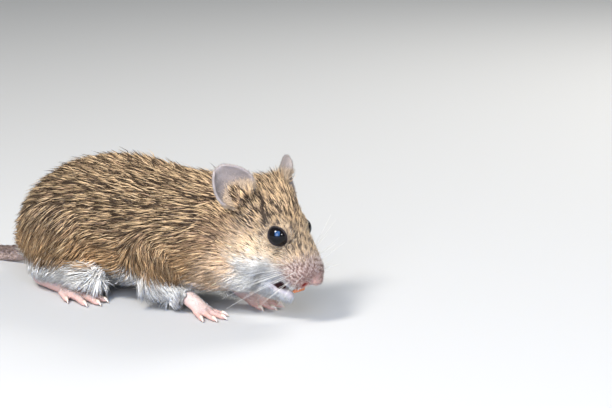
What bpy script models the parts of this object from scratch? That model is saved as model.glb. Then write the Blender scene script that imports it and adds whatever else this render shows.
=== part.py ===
"""A life-size field mouse (wood mouse, Apodemus sylvaticus) in a low crouch on all fours.

It faces -Y, its left side is +X, and it stands on the floor at Z = 0. The flesh is modelled whole, out to
the tips of the coat, and then parted by thin cuts into head, neck, chest, abdomen and limbs. Nose, eyes,
ears, teeth, lower jaw, feet and tail lengths are pieces of their own.

Design lengths are in millimetres and become metres as each object is made.
"""

from math import cos, pi, radians, sin

import bmesh
import bpy
from mathutils import Matrix, Vector

MM = 0.001
GAP = 0.3  # between neighbouring pieces
SLIVER = 0.01  # edges shorter than this are merged beside a plane cut

# Head: pitched nose-down, turned and cocked a little to its left, about the joint with the neck.
NOSE_HEIGHT = 9.0
HEAD_PITCH = radians(35)
HEAD_TURN = radians(12)
HEAD_ROLL = radians(3)  # left side down
NECK_PIVOT = 24.0  # back from the nose tip, along the head
EYE_PLACE = (4.95, 11.0, 4.0)  # left, back and up from the nose tip
EYE_RADIUS = 2.15
EAR_BASE = (6.8, 21.0, 4.9)
EAR_HEIGHT = 9.6
EAR_HALF_WIDTH = 4.3
EAR_ROUNDED_AT = 0.965  # the share of the height where the rim closes over
EAR_THICKNESS = 0.6
# The ears turn one by one, as a listening mouse's do.
EAR_OUTWARD = {"left": radians(16), "right": radians(29)}  # the cup's facing, from straight ahead
EAR_SPLAY = {"left": radians(48), "right": radians(36)}  # the tip's lean to the side
EAR_BACK = {"left": radians(10), "right": radians(16)}  # the tip's lean to the rear

# Trunk, feet and tail.
BODY_LENGTH = 81.5  # nose tip to tail root, along the floor
HIND_HEEL = (12.2, 66.0)
HIND_SPLAY = radians(9)
FORE_WRISTS = {"left": (6.4, 24.0), "right": (6.4, 26.5)}
FORE_SPLAY = radians(6)
TAIL_LENGTH = 90.0
TAIL_RADII = (2.0, 0.6)  # at the root and at the tip
TAIL_PIECES = 4

SIDES = {"left": 1, "right": -1}


# Scene and materials


def clear_scene():
    for obj in list(bpy.data.objects):
        bpy.data.objects.remove(obj)


def new_collection(name):
    collection = bpy.data.collections.new(name)
    bpy.context.scene.collection.children.link(collection)
    return collection


def material(name, colour, roughness):
    made = bpy.data.materials.new(name)
    made.use_nodes = True
    shader = made.node_tree.nodes["Principled BSDF"]
    shader.inputs["Base Color"].default_value = (*colour, 1)
    shader.inputs["Roughness"].default_value = roughness
    shader.inputs["Metallic"].default_value = 0
    return made


# Meshes. Each helper adds to a bmesh in millimetres.


def head_matrix():
    """Takes (left, back, up) from the nose tip, along the head, to the mouse's place on the floor."""
    turn = Matrix.Rotation(HEAD_TURN, 4, "Z")
    pitch = Matrix.Rotation(HEAD_PITCH, 4, "X")
    roll = Matrix.Rotation(HEAD_ROLL, 4, "Y")
    pivot = Vector((0, NECK_PIVOT, 0))
    straight = Vector((0, 0, NOSE_HEIGHT)) + pitch @ pivot
    return Matrix.Translation(straight) @ turn @ pitch @ roll @ Matrix.Translation(-pivot)


HEAD = head_matrix()


def ball(bm, centre, radii, matrix=Matrix(), segments=24):
    """Adds an ellipsoid."""
    place = matrix @ Matrix.Translation(centre) @ Matrix.Diagonal((*radii, 1))
    bmesh.ops.create_uvsphere(
        bm, u_segments=segments, v_segments=segments * 2 // 3, radius=1, matrix=place
    )


def capsule(bm, start, start_radius, end, end_radius, matrix=Matrix()):
    """Adds the hull of two balls, a tapered rod with round ends."""
    hull = bmesh.new()
    for centre, radius in ((start, start_radius), (end, end_radius)):
        bmesh.ops.create_icosphere(
            hull, subdivisions=2, radius=radius, matrix=matrix @ Matrix.Translation(centre)
        )
    bmesh.ops.delete(hull, geom=hull.edges, context="EDGES_FACES")
    made = bmesh.ops.convex_hull(hull, input=hull.verts)
    loose = [v for v in made["geom_interior"] if isinstance(v, bmesh.types.BMVert)]
    bmesh.ops.delete(hull, geom=loose, context="VERTS")
    mesh = bpy.data.meshes.new("hull")
    hull.to_mesh(mesh)
    bm.from_mesh(mesh)
    hull.free()
    bpy.data.meshes.remove(mesh)


def rod(bm, joints, matrix=Matrix()):
    """Adds a chain of capsules through joints, each a (point, radius)."""
    for (start, start_radius), (end, end_radius) in zip(joints, joints[1:]):
        capsule(bm, start, start_radius, end, end_radius, matrix)


def ring(back, top, bottom, half_width, shift=0.0, fullness=2.3, steps=28):
    """One cross-section: a superellipse, a little fuller than an ellipse."""
    points = []
    for step in range(steps):
        angle = 2 * pi * step / steps
        across = abs(cos(angle)) ** (2 / fullness) * (1 if cos(angle) >= 0 else -1)
        upward = abs(sin(angle)) ** (2 / fullness) * (1 if sin(angle) >= 0 else -1)
        height = (top + bottom) / 2 + (top - bottom) / 2 * upward
        points.append(Vector((shift + half_width * across, back, height)))
    return points


def between(sections, steps=3):
    """Adds rows between sections, on a smooth curve through every column."""
    ends = (sections[0], *sections, sections[-1])
    rows = []
    for before, start, end, after in zip(ends, ends[1:], ends[2:], ends[3:]):
        for step in range(steps):
            t = step / steps
            weights = (
                (-(t**3) + 2 * t * t - t) / 2,
                (3 * t**3 - 5 * t * t + 2) / 2,
                (-3 * t**3 + 4 * t * t + t) / 2,
                (t**3 - t * t) / 2,
            )
            columns = zip(before, start, end, after)
            rows.append([sum(w * value for w, value in zip(weights, column)) for column in columns])
    return [*rows, list(sections[-1])]


def loft(bm, rings, matrix=Matrix()):
    """Adds a skin over rings of equal counts, closed at both ends."""
    rows = [[bm.verts.new(matrix @ point) for point in points] for points in rings]
    for row, after in zip(rows, rows[1:]):
        for step in range(len(row)):
            nearby = (step + 1) % len(row)
            bm.faces.new((row[step], row[nearby], after[nearby], after[step]))
    bm.faces.new(rows[0][::-1])
    bm.faces.new(rows[-1])


# Objects


def new_object(name, bm, collection):
    """Makes an object of a bmesh in millimetres, with its faces pointing out."""
    bmesh.ops.scale(bm, vec=(MM, MM, MM), verts=bm.verts)
    bmesh.ops.recalc_face_normals(bm, faces=bm.faces)
    mesh = bpy.data.meshes.new(name)
    bm.to_mesh(mesh)
    bm.free()
    obj = bpy.data.objects.new(name, mesh)
    collection.objects.link(obj)
    return obj


def settle(obj):
    """Makes the object's modifiers permanent."""
    graph = bpy.context.evaluated_depsgraph_get()
    mesh = bpy.data.meshes.new_from_object(obj.evaluated_get(graph))
    obj.modifiers.clear()
    obj.data = mesh
    return obj


def triangles_in(obj):
    return sum(len(face.vertices) - 2 for face in obj.data.polygons)


def fuse(name, bm, collection, voxel, rounds, triangles):
    """Joins overlapping shapes into one smooth closed body of about so many triangles."""
    obj = new_object(name, bm, collection)
    remesh = obj.modifiers.new("Join", "REMESH")
    remesh.mode = "VOXEL"
    remesh.voxel_size = voxel * MM
    smooth = obj.modifiers.new("Soften", "SMOOTH")
    smooth.iterations = rounds
    settle(obj)
    return lighten(obj, triangles / triangles_in(obj))


def lighten(obj, share):
    """Keeps about that share of the triangles, flat places giving theirs up first."""
    decimate = obj.modifiers.new("Lighten", "DECIMATE")
    decimate.ratio = share
    return settle(obj)


def boolean(obj, other, operation, solver="EXACT"):
    modifier = obj.modifiers.new(operation, "BOOLEAN")
    modifier.operation = operation
    modifier.object = other
    modifier.solver = solver
    return settle(obj)


def copy_of(obj, name):
    made = bpy.data.objects.new(name, obj.data.copy())
    obj.users_collection[0].objects.link(made)
    return made


def cutter(name, bm, helpers):
    obj = new_object(name, bm, helpers)
    obj.hide_render = True
    obj.display_type = "WIRE"
    return obj


def trim(obj, neighbour, helpers):
    """Cuts obj back to stand a gap clear of its neighbour."""
    grown = copy_of(neighbour, f"{neighbour.name}_around")
    for collection in grown.users_collection:
        collection.objects.unlink(grown)
    helpers.objects.link(grown)
    grown.hide_render = True
    grown.display_type = "WIRE"
    swell = grown.modifiers.new("Swell", "DISPLACE")
    swell.strength = GAP * MM
    swell.mid_level = 0
    # Small sockets beside each other in one piece defeat the exact solver.
    boolean(obj, settle(grown), "DIFFERENCE", solver="MANIFOLD")


def half(source, name, point, normal):
    """A copy of the side of source that normal points to, capped at the cut."""
    made = copy_of(source, name)
    bm = bmesh.new()
    bm.from_mesh(made.data)
    bmesh.ops.bisect_plane(
        bm,
        geom=bm.verts[:] + bm.edges[:] + bm.faces[:],
        plane_co=Vector(point) * MM,
        plane_no=normal,
        clear_inner=True,
    )
    bmesh.ops.remove_doubles(bm, verts=bm.verts, dist=SLIVER * MM)
    bmesh.ops.holes_fill(bm, edges=bm.edges, sides=0)
    bmesh.ops.triangulate(bm, faces=bm.faces)
    bm.to_mesh(made.data)
    bm.free()
    return made


def part(source, front_name, back_name, point, normal):
    """Parts source at a plane, a gap wide, and removes it."""
    point, normal = Vector(point), Vector(normal).normalized()
    front = half(source, front_name, point - normal * GAP / 2, -normal)
    back = half(source, back_name, point + normal * GAP / 2, normal)
    bpy.data.objects.remove(source)
    return front, back


def keep_largest(obj):
    """Removes the crumbs that a cut can leave beside the main body."""
    bm = bmesh.new()
    bm.from_mesh(obj.data)
    unseen = set(bm.verts)
    bodies = []
    while unseen:
        body = set()
        front = [unseen.pop()]
        while front:
            vert = front.pop()
            body.add(vert)
            near = {edge.other_vert(vert) for edge in vert.link_edges} & unseen
            unseen -= near
            front += near
        bodies.append(body)
    bodies.sort(key=len)
    for crumb in bodies[:-1]:
        bmesh.ops.delete(bm, geom=list(crumb), context="VERTS")
    bm.to_mesh(obj.data)
    bm.free()
    return obj


# The flesh


def add_head(bm):
    """Muzzle, bridge, brow, cheeks and crown, as sections back from the nose tip."""
    sections = (
        # back, top, bottom, half width
        (0.1, 1.9, -0.6, 1.5),
        (1.0, 2.7, -1.8, 2.6),
        (2.6, 3.4, -3.2, 3.8),
        (5.4, 4.5, -4.5, 4.8),
        (8.4, 6.0, -5.6, 5.3),
        (11.4, 7.8, -6.9, 6.0),
        (15.0, 9.4, -8.0, 7.5),
        (19.0, 10.0, -8.6, 8.6),
        (23.0, 8.2, -8.2, 8.8),
        (27.0, 4.6, -7.2, 8.2),
    )
    loft(bm, [ring(*section) for section in between(sections)], HEAD)
    for side in SIDES.values():
        ball(bm, (side * 2.7, 3.7, -0.9), (2.4, 3.2, 2.8), HEAD)  # whisker pad
        ball(bm, (side * 4.4, 11.6, 5.2), (1.9, 3.6, 2.2), HEAD)  # brow
        ball(bm, (side * 4.6, 15.5, -2.8), (4.0, 6.6, 5.2), HEAD)  # cheek


def add_trunk(bm):
    """Throat to rump, as upright sections back along the floor."""
    sections = (
        # back, top, bottom, half width
        (12.0, 16.0, 7.0, 5.0),
        (15.0, 20.0, 5.4, 7.2),
        (20.0, 27.4, 4.8, 9.2),
        (25.0, 28.2, 4.4, 10.8),
        (31.0, 27.9, 4.0, 12.2),
        (38.0, 27.8, 3.1, 13.4),
        (47.0, 28.4, 2.0, 14.4),
        (56.0, 28.4, 1.5, 15.0),
        (64.0, 26.7, 1.5, 14.8),
        (71.0, 22.9, 1.7, 12.8),
        (76.5, 17.4, 2.2, 9.6),
        (BODY_LENGTH - 1.5, 11.4, 3.0, 5.4),
        (BODY_LENGTH, 7.6, 3.6, 2.8),
    )
    turned = NECK_PIVOT * cos(HEAD_PITCH)
    rings = []
    for back, top, bottom, half_width in between(sections):
        shift = max(turned - back, 0) * sin(HEAD_TURN)
        rings.append(ring(back, top, bottom, half_width, shift))
    loft(bm, rings)


def wrist(side_name):
    left, back = FORE_WRISTS[side_name]
    return Vector((SIDES[side_name] * left, back, 2.9))


def add_limbs(bm):
    for name, side in SIDES.items():
        shoulder = Vector((side * 8.4, 33.0, 13.5))
        elbow = Vector((side * 9.4, 35.0, 6.6))
        rod(bm, ((shoulder, 4.2), (elbow, 3.2), (wrist(name), 1.9)))
        ball(bm, (side * 10.6, 59.5, 12.0), (6.2, 13.0, 11.0))  # haunch
        knee = Vector((side * 13.2, 49.0, 5.6))
        ankle = Vector((side * HIND_HEEL[0], HIND_HEEL[1] - 1.5, 4.2))
        rod(bm, ((knee, 3.6), (ankle, 2.9)))


def make_flesh(parts):
    bm = bmesh.new()
    add_head(bm)
    add_trunk(bm)
    add_limbs(bm)
    return fuse("flesh", bm, parts, voxel=0.5, rounds=9, triangles=4000)


def take(flesh, name, add_region, helpers):
    """Parts from the flesh what lies in a region, leaving a gap."""
    inner, outer = bmesh.new(), bmesh.new()
    add_region(inner, 0)
    add_region(outer, GAP)
    made = copy_of(flesh, name)
    boolean(made, cutter(f"{name}_region", inner, helpers), "INTERSECT")
    boolean(flesh, cutter(f"{name}_cut", outer, helpers), "DIFFERENCE")
    return keep_largest(made)


def thigh_region(side):
    def add(bm, grow):
        radii = (10.5 + grow, 15.0 + grow, 12.6 + grow)
        ball(bm, (side * 17.5, 59.0, 9.6), radii, segments=20)

    return add


def foreleg_region(side):
    def add(bm, grow):
        radii = (5.4 + grow, 8.0 + grow, 9.6 + grow)
        ball(bm, (side * 12.0, 32.0, 8.0), radii, segments=18)

    return add


def part_trunk(flesh):
    """Parts the flesh across the neck, behind the shoulders and at the loin."""
    behind_skull = HEAD @ Vector((0, 22.5, 0))
    across = HEAD.to_3x3() @ Vector((0, 1, -0.55))
    head, rest = part(flesh, "head", "rest", behind_skull, across)
    neck, rest = part(rest, "neck", "trunk", (0, 27.5, 0), (0, 1, 0.1))
    chest, abdomen = part(rest, "chest", "abdomen", (0, 45.5, 0), (0, 1, 0))
    return head, neck, chest, abdomen


# Pieces of the head


def make_eye(name, side, parts):
    bm = bmesh.new()
    left, back, up = EYE_PLACE
    ball(bm, (side * left, back, up), (EYE_RADIUS,) * 3, HEAD, segments=15)
    return new_object(name, bm, parts)


def make_nose(parts):
    """The bare leather: a rounded tip and a narrow fold down to the lip."""
    bm = bmesh.new()
    ball(bm, (0, 0.7, 0.3), (1.4, 1.4, 1.3), HEAD)
    for side in SIDES.values():
        ball(bm, (side * 0.85, 0.8, 0.1), (0.95, 1.2, 0.95), HEAD)
    capsule(bm, (0, 0.5, -0.4), 0.5, (0, 1.2, -2.2), 0.4, HEAD)
    return fuse("nose", bm, parts, voxel=0.15, rounds=4, triangles=200)


def make_incisors(parts):
    """Two curved upper front teeth on one root."""
    bm = bmesh.new()
    capsule(bm, (-0.4, 3.0, -2.6), 0.6, (0.4, 3.0, -2.6), 0.6, HEAD)
    for side in SIDES.values():
        joints = (
            ((side * 0.60, 2.5, -2.6), 0.62),
            ((side * 0.58, 2.1, -3.8), 0.60),
            ((side * 0.52, 2.7, -5.0), 0.38),
        )
        rod(bm, joints, HEAD)
    return fuse("upper_incisors", bm, parts, voxel=0.12, rounds=2, triangles=120)


def make_lower_jaw(parts):
    """Chin and lower lip, hanging a little open."""
    bm = bmesh.new()
    rod(
        bm,
        (
            ((0, 3.1, -6.75), 1.15),
            ((0, 6.2, -7.3), 1.65),
            ((0, 10.0, -8.2), 2.4),
        ),
        HEAD,
    )
    for side in SIDES.values():
        rod(
            bm,
            (((side * 0.9, 4.4, -6.75), 0.9), ((side * 2.5, 8.6, -6.8), 1.4)),
            HEAD,
        )
    return fuse("lower_jaw", bm, parts, voxel=0.3, rounds=4, triangles=260)


def ear_point(across, along):
    """A point of the pinna's sheet: across -1 to 1, along 0 at the base to 1 at the tip.

    The sheet is a rounded leaf, rolled into a cup that opens out toward the tip.
    """
    leaf = sin(pi * (0.17 + 0.83 * along) ** 1.15) ** 0.62
    half_width = EAR_HALF_WIDTH * (0.42 + 0.58 * sin(pi * min(along, 0.5))) * leaf
    roll = radians(105 - 62 * along)
    radius = half_width / max(sin(roll), 0.7)
    angle = across * roll
    return Vector((radius * sin(angle), radius * (1 - cos(angle)), EAR_HEIGHT * along))


def make_ear(which, parts):
    """A thin rounded cup, facing forward and out, that leans back from the crown."""
    rows, columns = 8, 8
    bm = bmesh.new()
    grid = []
    for row in range(rows + 1):
        along = EAR_ROUNDED_AT * row / rows
        grid.append(
            [bm.verts.new(ear_point(2 * column / columns - 1, along)) for column in range(columns + 1)]
        )
    for low, high in zip(grid, grid[1:]):
        for column in range(columns):
            bm.faces.new((low[column], low[column + 1], high[column + 1], high[column]))
    side = SIDES[which]
    left, back, up = EAR_BASE
    # The cup opens toward +Y as drawn, so it first turns about to face the nose.
    facing = Matrix.Rotation(pi + side * EAR_OUTWARD[which], 4, "Z")
    lean = Matrix.Rotation(side * EAR_SPLAY[which], 4, "Y") @ Matrix.Rotation(-EAR_BACK[which], 4, "X")
    turn = Matrix.Rotation(HEAD_TURN, 4, "Z") @ Matrix.Rotation(HEAD_ROLL, 4, "Y")
    base = HEAD @ Vector((side * left, back, up))
    place = Matrix.Translation(base) @ turn @ lean @ facing
    bmesh.ops.transform(bm, matrix=place, verts=bm.verts)
    obj = new_object(f"ear_{which}", bm, parts)
    shell = obj.modifiers.new("Thickness", "SOLIDIFY")
    shell.thickness = EAR_THICKNESS * MM
    shell.offset = 0
    return settle(obj)


# Feet


def foot_place(left, back, splay, side):
    return Matrix.Translation((side * left, back, 0)) @ Matrix.Rotation(side * splay, 4, "Z")


def add_toe(bm, start, length, splay, radius, place):
    """A toe that arches to its knuckle and comes down to a pad, with a short claw."""
    heading = Vector((sin(splay), -cos(splay), 0))
    base = Vector((*start, radius * 1.25))
    knuckle = base + heading * length * 0.45 + Vector((0, 0, radius * 0.25))
    tip = base + heading * length + Vector((0, 0, -radius * 0.40))
    claw = tip + heading * 1.15 + Vector((0, 0, -radius * 0.25))
    rod(bm, ((base, radius), (knuckle, radius), (tip, radius * 0.88)), place)
    rod(bm, ((tip, 0.42), (claw, 0.26)), place)


def make_hind_foot(name, side, parts):
    """A long flat foot, heel down, with three long middle toes and two short outer ones."""
    place = foot_place(*HIND_HEEL, HIND_SPLAY, side)
    bm = bmesh.new()
    joints = (
        ((0, 0.4, 2.3), 2.0),
        ((0, -7.0, 1.8), 1.75),
        ((0, -12.5, 1.5), 1.7),
    )
    rod(bm, joints, place)
    ball(bm, (0, -12.8, 1.2), (2.6, 3.0, 1.4), place)
    for start, length, splay in (
        ((-2.0, -10.6), 4.6, -20),
        ((-1.45, -13.6), 6.4, -9),
        ((0.0, -14.2), 6.9, 0),
        ((1.45, -13.6), 6.4, 9),
        ((2.0, -10.6), 4.6, 20),
    ):
        add_toe(bm, start, length, radians(splay), 0.78, place)
    return make_foot(name, bm, parts, triangles=420)


def make_forefoot(name, side, parts):
    """A small hand with four fingers."""
    place = foot_place(*FORE_WRISTS[name.split("_")[1]], FORE_SPLAY, side)
    bm = bmesh.new()
    rod(bm, (((0, 0.6, 3.1), 1.75), ((0, -3.2, 1.7), 1.6)), place)
    ball(bm, (0, -3.8, 1.3), (2.1, 2.2, 1.3), place)
    for start, length, splay in (
        ((-1.6, -3.9), 3.1, -22),
        ((-0.65, -4.8), 3.9, -7),
        ((0.65, -4.8), 3.9, 7),
        ((1.6, -3.9), 3.1, 22),
    ):
        add_toe(bm, start, length, radians(splay), 0.62, place)
    return make_foot(name, bm, parts, triangles=300)


def make_foot(name, bm, parts, triangles):
    """Joins the foot's shapes and cuts its sole flat at the floor."""
    foot = fuse(f"{name}_whole", bm, parts, voxel=0.22, rounds=3, triangles=triangles)
    sole_cut = half(foot, name, (0, 0, 0), (0, 0, 1))
    bpy.data.objects.remove(foot)
    return sole_cut


# Tail


def tail_radius(share):
    root, tip = TAIL_RADII
    return root + (tip - root) * share**0.8


def tail_path(steps=36):
    """Points from the root, down to the floor and along it in a slow double bend."""
    points = []
    place = Vector((0, BODY_LENGTH - 3.5, 0))
    stride = TAIL_LENGTH / steps
    for step in range(steps + 1):
        share = step / steps
        lift = 4.2 * max(1 - share / 0.16, 0) ** 2
        points.append(Vector((place.x, place.y, lift + 0.93 * tail_radius(share))))
        heading = radians(-64) * sin(pi * share * 1.35) * share**0.5
        place = place + Vector((sin(heading), cos(heading), 0)) * stride
    return points


def make_tail(parts):
    """Rods of tapering radius along the path, one for each length of the tail."""
    points = tail_path()
    per_piece = (len(points) - 1) // TAIL_PIECES
    pieces = []
    for piece in range(TAIL_PIECES):
        start = piece * per_piece
        own = [point.copy() for point in points[start : start + per_piece + 1]]
        if piece < TAIL_PIECES - 1:
            own[-1] -= (own[-1] - own[-2]).normalized() * GAP
        whole = tail_length(f"tail_{piece + 1}_whole", own, start, len(points) - 1, parts)
        pieces.append(half(whole, f"tail_{piece + 1}", (0, 0, 0), (0, 0, 1)))
        bpy.data.objects.remove(whole)
    return pieces


def tail_length(name, points, first, last, parts):
    curve = bpy.data.curves.new(name, "CURVE")
    curve.dimensions = "3D"
    curve.bevel_depth = MM
    curve.bevel_resolution = 2
    curve.use_fill_caps = True
    line = curve.splines.new("POLY")
    line.points.add(len(points) - 1)
    for step, point in enumerate(points):
        line.points[step].co = (*(point * MM), 1)
        line.points[step].radius = tail_radius((first + step) / last)
    drawn = bpy.data.objects.new(name, curve)
    parts.objects.link(drawn)
    graph = bpy.context.evaluated_depsgraph_get()
    mesh = bpy.data.meshes.new_from_object(drawn.evaluated_get(graph))
    bpy.data.objects.remove(drawn)
    bm = bmesh.new()
    bm.from_mesh(mesh)
    bmesh.ops.remove_doubles(bm, verts=bm.verts, dist=1e-6)
    bmesh.ops.recalc_face_normals(bm, faces=bm.faces)
    bm.to_mesh(mesh)
    bm.free()
    made = bpy.data.objects.new(name, mesh)
    parts.objects.link(made)
    return made


# The whole mouse


def centre_on_floor(parts):
    """Moves every piece so that the middle of their box stands over the origin."""
    points = [vert.co for obj in parts.objects for vert in obj.data.vertices]
    shift = [-(min(p[axis] for p in points) + max(p[axis] for p in points)) / 2 for axis in (0, 1)]
    for obj in parts.objects:
        obj.data.transform(Matrix.Translation((*shift, 0)))


def finish(parts):
    fur = material("agouti_fur", (0.36, 0.24, 0.13), 0.85)
    pale_fur = material("pale_fur", (0.72, 0.70, 0.66), 0.85)
    bare = material("bare_skin", (0.45, 0.33, 0.31), 0.6)
    colours = {
        "eye": material("eye", (0.01, 0.01, 0.012), 0.05),
        "ear": material("ear", (0.42, 0.35, 0.36), 0.6),
        "nose": material("nose_leather", (0.42, 0.20, 0.17), 0.4),
        "upper": material("incisor", (0.72, 0.22, 0.06), 0.3),
        "lower": pale_fur,
        "hind": bare,
        "forefoot": bare,
        "tail": bare,
    }
    for obj in parts.objects:
        obj.data.materials.clear()
        obj.data.materials.append(colours.get(obj.name.split("_")[0], fur))
        obj.data.shade_smooth()


def main():
    clear_scene()
    parts = new_collection("field_mouse")
    helpers = new_collection("cutters")
    flesh = make_flesh(parts)
    thighs, forelegs = [], []
    for name, side in SIDES.items():
        thighs.append(take(flesh, f"thigh_{name}", thigh_region(side), helpers))
        forelegs.append(take(flesh, f"foreleg_{name}", foreleg_region(side), helpers))
    keep_largest(flesh)
    head, neck, chest, abdomen = part_trunk(flesh)
    jaw = make_lower_jaw(parts)
    trim(jaw, head, helpers)
    trim(neck, jaw, helpers)
    trim(head, make_nose(parts), helpers)
    trim(head, make_incisors(parts), helpers)
    for name, side in SIDES.items():
        trim(head, make_eye(f"eye_{name}", side, parts), helpers)
        trim(head, make_ear(name, parts), helpers)
        hind = make_hind_foot(f"hind_foot_{name}", side, parts)
        fore = make_forefoot(f"forefoot_{name}", side, parts)
        for flesh_piece in (*thighs, abdomen):
            trim(flesh_piece, hind, helpers)
        for flesh_piece in (*forelegs, chest, neck):
            trim(flesh_piece, fore, helpers)
    trim(abdomen, make_tail(parts)[0], helpers)
    for obj in (neck, chest, abdomen, *thighs, *forelegs):
        lighten(obj, 0.5)
    for obj in parts.objects:
        keep_largest(obj)
    centre_on_floor(parts)
    finish(parts)


main()
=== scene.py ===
"""Looks of the field mouse.

One skin replaces the flesh nodes and lies inside them by the depth of the coat. The coat is made of thin
tapered tufts that follow the lie of the fur. Eyes, teeth, claws and whiskers are pieces of their own.

Design lengths are in millimetres and become metres where a mesh is made.
"""

from math import cos, pi, radians, sin

import bmesh
import bpy
import numpy as np
from mathutils import Matrix, Vector
from mathutils.bvhtree import BVHTree
from mathutils.kdtree import KDTree


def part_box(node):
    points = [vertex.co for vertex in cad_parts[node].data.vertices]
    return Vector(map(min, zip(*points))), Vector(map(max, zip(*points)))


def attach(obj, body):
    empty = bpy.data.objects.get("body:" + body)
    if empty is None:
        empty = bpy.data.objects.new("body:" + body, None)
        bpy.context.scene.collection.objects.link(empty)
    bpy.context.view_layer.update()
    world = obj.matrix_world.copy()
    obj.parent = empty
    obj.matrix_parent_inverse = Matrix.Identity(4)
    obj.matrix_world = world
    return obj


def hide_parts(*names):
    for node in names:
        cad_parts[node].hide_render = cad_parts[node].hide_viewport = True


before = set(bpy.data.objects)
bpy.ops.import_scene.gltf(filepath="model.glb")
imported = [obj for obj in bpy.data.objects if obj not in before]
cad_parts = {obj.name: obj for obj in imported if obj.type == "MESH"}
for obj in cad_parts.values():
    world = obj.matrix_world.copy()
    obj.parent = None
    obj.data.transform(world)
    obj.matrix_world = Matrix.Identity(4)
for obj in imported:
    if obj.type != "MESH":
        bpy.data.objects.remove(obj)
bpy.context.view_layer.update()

MM = 0.001
RNG = np.random.default_rng(7)

# Nodes of flesh, which the skin replaces.
LIMBS = ("thigh_left", "thigh_right", "foreleg_left", "foreleg_right")
FURRED = ("head", "neck", "chest", "abdomen", *LIMBS, "lower_jaw")
FEET = ("forefoot_left", "forefoot_right", "hind_foot_left", "hind_foot_right")
EARS = ("ear_left", "ear_right")
EYES = ("eye_left", "eye_right")
TAIL = ("tail_1", "tail_2", "tail_3", "tail_4")
SIDES = {"left": 1, "right": -1}

# What a point of the skin belongs to, in the order of the skin's materials.
BODY, FOOT, EAR, TAIL_SKIN, NOSE_PAD = range(5)

# The CAD moves its drawing by this much to stand over the origin.
SHIFT = np.array((4.326, -78.495, 0.0))

# The head's own axes start at the nose and run back along the skull.
EYES_OFF_AXIS = radians(19.8)  # the eyes stand this much above that line, seen from the nose
NOSE_TO_TIP = 0.75  # from the middle of the nose's box to its tip

# Nostril pits: the way to each from the middle of the nose (left, back, up), then radius and depth.
NOSTRILS = (
    ((0.86, 0.36, -0.30), 0.80, 0.75),
    ((0.80, 0.80, -0.22), 0.55, 0.50),
)

# Tail and feet, as the CAD draws them.
TAIL_ROOT = 78.0
TAIL_LENGTH = 90.0
TAIL_RADII = (2.0, 0.6)
TAIL_RISE = 4.2  # how much higher the root lies than the part on the floor
TAIL_DROP = 0.16  # the share of the length in which it comes down
TAIL_BEND = radians(-64)
TAIL_HALF_WAVES = 1.35
RING_PITCH = 0.55  # between the rings of scales
HIND_FOOT = {
    "place": {"left": (12.2, 66.0), "right": (12.2, 66.0)},
    "splay": radians(9),
    "radius": 0.78,
    "toes": (
        ((-2.0, -10.6), 4.6, -20),
        ((-1.45, -13.6), 6.4, -9),
        ((0.0, -14.2), 6.9, 0),
        ((1.45, -13.6), 6.4, 9),
        ((2.0, -10.6), 4.6, 20),
    ),
}
FORE_FOOT = {
    "place": {"left": (6.4, 24.0), "right": (6.4, 26.5)},
    "splay": radians(6),
    "radius": 0.62,
    "toes": (
        ((-1.6, -3.9), 3.1, -22),
        ((-0.65, -4.8), 3.9, -7),
        ((0.65, -4.8), 3.9, 7),
        ((1.6, -3.9), 3.1, 22),
    ),
}

EAR_LENGTH = 9.5
CLAW_LENGTH = 1.55
CLAW_RADIUS = 0.36

# The skin's making.
SWELL = 0.22  # nodes of flesh grow by this much, to run into each other
JAW_SWELL = 0.08
DRAWN_BACK = 0.2  # and the skin made from them draws back by this much
VOXEL = 0.27

# The coat. Lengths on the head go by how far back the hair stands, and widths of tufts by their length.
HAIR_ON_HEAD = ((0, 0.85), (3, 1.05), (6, 1.35), (9, 1.8), (13, 2.5), (18, 3.2), (24, 4.2))
HAIR_ON_TRUNK = 5.6
TUFT_WIDTHS = ((0.5, 0.12), (1, 0.15), (2, 0.19), (4, 0.24), (6, 0.28))
DEPTH_SHARE = 0.30  # of the hair's length, from the skin to the tips
ROOT_DEPTH = 0.12  # how far a tuft's root is sunk into the skin
LIFT = radians(24)  # of the tufts from the skin
TUFTS_ON_HEAD = 46  # on a square millimetre
TUFTS_ON_TRUNK = 18
LONG_TUFT = 2.2  # tufts this long bend in the middle, and shorter ones are straight
MOST_TUFTS = 21000  # in one piece
HEAD_ENDS = 24  # how far back the head's own pieces of coat reach
PATCH = 0.003  # the side of each tuft's patch in its piece's unwrap

# Colours, linear.
BROWN = np.array((0.35, 0.235, 0.15))
LIGHT_TAN = np.array((0.84, 0.66, 0.49))
GOLDEN = np.array((0.50, 0.31, 0.15))
WHITE = np.array((0.76, 0.755, 0.74))
DARK_TIP = np.array((0.05, 0.035, 0.025))
STRAW = np.array((0.86, 0.63, 0.38))
GREY_BROWN = np.array((0.26, 0.20, 0.16))
MUZZLE = np.array((0.74, 0.57, 0.50))
MUZZLE_PALE = np.array((0.98, 0.88, 0.85))
MUZZLE_DARK = np.array((0.07, 0.035, 0.035))
TIP_HAIR = np.array((0.90, 0.68, 0.62))
LIP_WHITE = np.array((0.77, 0.79, 0.83))
PHILTRUM = np.array((0.42, 0.14, 0.11))
PINK = np.array((0.60, 0.37, 0.33))
EAR_SKIN = np.array((0.28, 0.245, 0.24))
# The ear's pale rim: painted light shining through its thin edge.
EAR_RIM_GLOW = np.array((0.50, 0.43, 0.39))
LID = np.array((0.025, 0.02, 0.02))
CHIN = np.array((0.58, 0.52, 0.58))
# Inside the open mouth: its dark red, with painted shade over it.
MOUTH_SHADE = np.array((0.075, 0.03, 0.03))
NOSTRIL = np.array((0.20, 0.025, 0.02))
TAIL_TOP = np.array((0.20, 0.145, 0.125))
TAIL_UNDER = np.array((0.50, 0.38, 0.34))
EYE_BLACK = (0.004, 0.0035, 0.004)
CLAW = (0.66, 0.55, 0.47)
WHISKER = (0.80, 0.78, 0.74)
ENAMEL = (0.62, 0.20, 0.07)
FLOOR = (0.50, 0.495, 0.48)


# Small numeric helpers


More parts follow.
